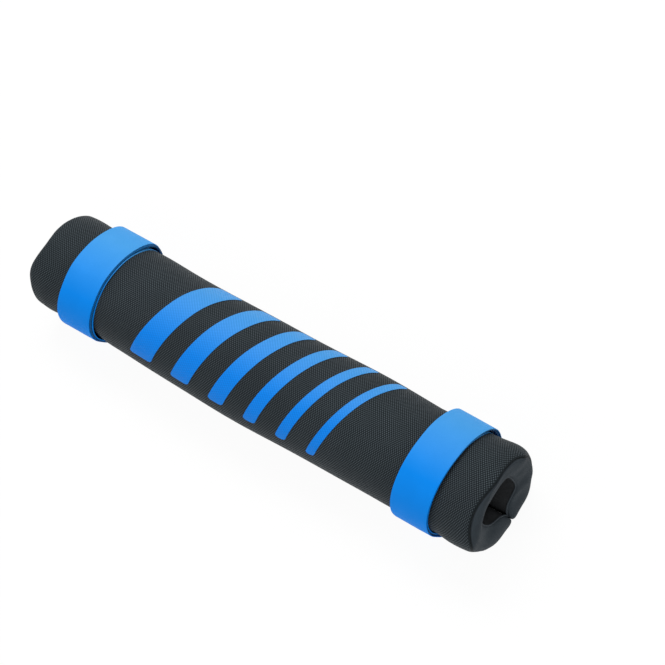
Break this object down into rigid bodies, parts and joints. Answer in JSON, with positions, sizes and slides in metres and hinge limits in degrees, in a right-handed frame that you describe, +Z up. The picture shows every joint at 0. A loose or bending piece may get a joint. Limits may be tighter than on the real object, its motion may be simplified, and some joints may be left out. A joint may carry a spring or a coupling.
{
  "type": "roof rack pad",
  "caption": "Slit foam sleeve in a dark woven cover that wraps a roof bar and is held shut by hook-and-loop straps.",
  "frame": {"origin": "middle of the surface that the pad rests on, under the middle of its overall box", "axes": "+X along the pad and the roof bar, towards the end shown nearest; +Z up, away from the slit; +Y to the side where the straps' loose ends lie"},
  "size_m": [0.4972, 0.1048, 0.0878],
  "materials": {
    "cover_cloth": "coarse woven, matt",
    "plain_cloth": "smooth woven, soft sheen",
    "lining_cloth": "matt",
    "foam": "closed-cell foam, matt",
    "strap_web": "fine loop, soft sheen",
    "print_ink": "thin printed film, satin"
  },
  "bodies": {
    "root": {"outer_cover": "cover_cloth", "inner_lining": "lining_cloth", "end_gusset_near": "plain_cloth", "end_gusset_far": "plain_cloth", "foam_core": "foam", "strap_near": "strap_web", "strap_far": "strap_web", "print_bar_1": "print_ink", "print_bar_2": "print_ink", "print_bar_3": "print_ink", "print_bar_4": "print_ink", "print_bar_5": "print_ink", "print_bar_6": "print_ink"}
  },
  "joints": []
}
